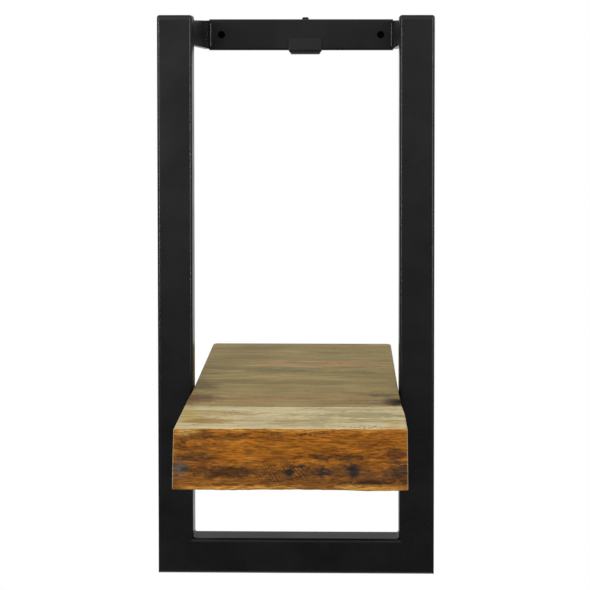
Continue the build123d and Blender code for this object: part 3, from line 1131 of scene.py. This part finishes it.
@dataclass
class Studio:
    """Pale floor, soft light and the camera."""

    drop: float = 1.4
    floor_radius: float = 1.5
    eye_side: float = 50.5 * MM
    eye_distance: float = 950.1 * MM
    eye_below_top: float = 39.3 * MM
    lens_mm: float = 53.92
    yaw_deg: float = 0.521
    pitch_deg: float = 1.005
    shift_x: float = -0.0669
    shift_y: float = -0.3866

    def build(self) -> None:
        """Sets the stage."""
        self.floor()
        self.world()
        self.lights()
        self.camera()

    def floor(self) -> None:
        """A pale disc well below the shelf, which hangs on a wall."""
        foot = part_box("bottom_rail")[0].z
        bpy.ops.object.select_all(action="DESELECT")
        bpy.ops.mesh.primitive_circle_add(
            vertices=96, radius=self.floor_radius, fill_type="NGON", location=(0, 0, foot - self.drop)
        )
        floor = bpy.context.active_object
        floor.name = "floor"
        material = bpy.data.materials.new("pale floor")
        material.use_nodes = True
        shader = material.node_tree.nodes["Principled BSDF"]
        shader.inputs["Base Color"].default_value = linear("#f4f4f2")
        shader.inputs["Roughness"].default_value = 0.9
        floor.data.materials.append(material)

    def world(self) -> None:
        """White to the eye, and for light a bright wall behind the shelf and a dim room before it."""
        world = bpy.data.worlds.new("studio")
        bpy.context.scene.world = world
        world.use_nodes = True
        tree = world.node_tree
        tree.nodes.clear()
        way = add_node(tree, "ShaderNodeTexCoord").outputs["Generated"]
        parts = add_node(tree, "ShaderNodeSeparateXYZ", {"Vector": way})
        wall = add_node(tree, "ShaderNodeMapRange", {
            "Value": parts.outputs["Y"], "From Min": 0.1, "From Max": 0.8, "To Min": 0.0, "To Max": 0.85,
        }, interpolation_type="SMOOTHSTEP")
        room = add_node(tree, "ShaderNodeMapRange", {
            "Value": parts.outputs["Z"], "From Min": -0.55, "From Max": 0.12, "To Min": 0.06, "To Max": 0.48,
        }, interpolation_type="SMOOTHSTEP")
        glow = add_node(tree, "ShaderNodeMath", {
            0: wall.outputs["Result"], 1: room.outputs["Result"],
        }, operation="MAXIMUM")
        dim = add_node(tree, "ShaderNodeBackground", {"Strength": glow.outputs["Value"]})
        white = add_node(tree, "ShaderNodeBackground", {"Strength": 1.0})
        dim.inputs["Color"].default_value = (1, 1, 1, 1)
        white.inputs["Color"].default_value = (1, 1, 1, 1)
        seen = add_node(tree, "ShaderNodeLightPath").outputs["Is Camera Ray"]
        mix = add_node(tree, "ShaderNodeMixShader", {
            0: seen, 1: dim.outputs["Background"], 2: white.outputs["Background"],
        })
        add_node(tree, "ShaderNodeOutputWorld", {"Surface": mix.outputs["Shader"]})

    def lamp(
        self, name: str, place: Vector, aim: Vector, size: tuple[float, float], watts: float,
        mirrored: bool = False,
    ) -> None:
        """Adds a soft box.

        Args:
            name: its name.
            place: where it hangs.
            aim: the place that it points at.
            size: its width and height in metres.
            watts: its power.
            mirrored: whether glossy surfaces show it.
        """
        light = bpy.data.lights.new(name, "AREA")
        light.shape = "RECTANGLE"
        light.size, light.size_y = size
        light.energy = watts
        lamp = bpy.data.objects.new(name, light)
        lamp.location = place
        lamp.visible_glossy = mirrored
        lamp.rotation_euler = (aim - place).to_track_quat("-Z", "Y").to_euler()
        bpy.context.scene.collection.objects.link(lamp)

    def lights(self) -> None:
        """A high soft box in front, one above, and a tall narrow one to each side in front."""
        middle = (CAD_BOX[0] + CAD_BOX[1]) / 2
        self.lamp("key box", middle + Vector((-0.7, -1.9, 2.3)), middle, (2.6, 2.2), 54)
        self.lamp("top box", middle + Vector((0.2, 0.0, 2.6)), middle, (2.8, 2.4), 17)
        for side, watts in ((-1, 20), (1, 22)):
            place = middle + Vector((side * 1.45, -2.05, 0.15))
            self.lamp("strip box", place, middle, (0.1, 1.7), watts, mirrored=True)

    def camera(self) -> None:
        """The camera: nearly level, a little right of the shelf and just below its top."""
        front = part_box("left_upright")[0].y
        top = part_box("left_end_cap")[1].z
        camera = bpy.data.cameras.new("camera")
        camera.lens = self.lens_mm
        camera.sensor_width = 36.0
        camera.shift_x = self.shift_x
        camera.shift_y = self.shift_y
        eye = bpy.data.objects.new("camera", camera)
        eye.location = (self.eye_side, front - self.eye_distance, top - self.eye_below_top)
        eye.rotation_euler = (math.radians(90 - self.pitch_deg), 0, math.radians(self.yaw_deg))
        bpy.context.scene.collection.objects.link(eye)
        bpy.context.scene.camera = eye


def main() -> None:
    """Builds the shelf and its stage."""
    logging.basicConfig(level=logging.INFO, format="%(name)s: %(message)s")
    bpy.context.scene.view_settings.view_transform = "Standard"
    Studio().build()
    SteelFrame().build()
    Slab().build()


if __name__ == "__main__":
    main()
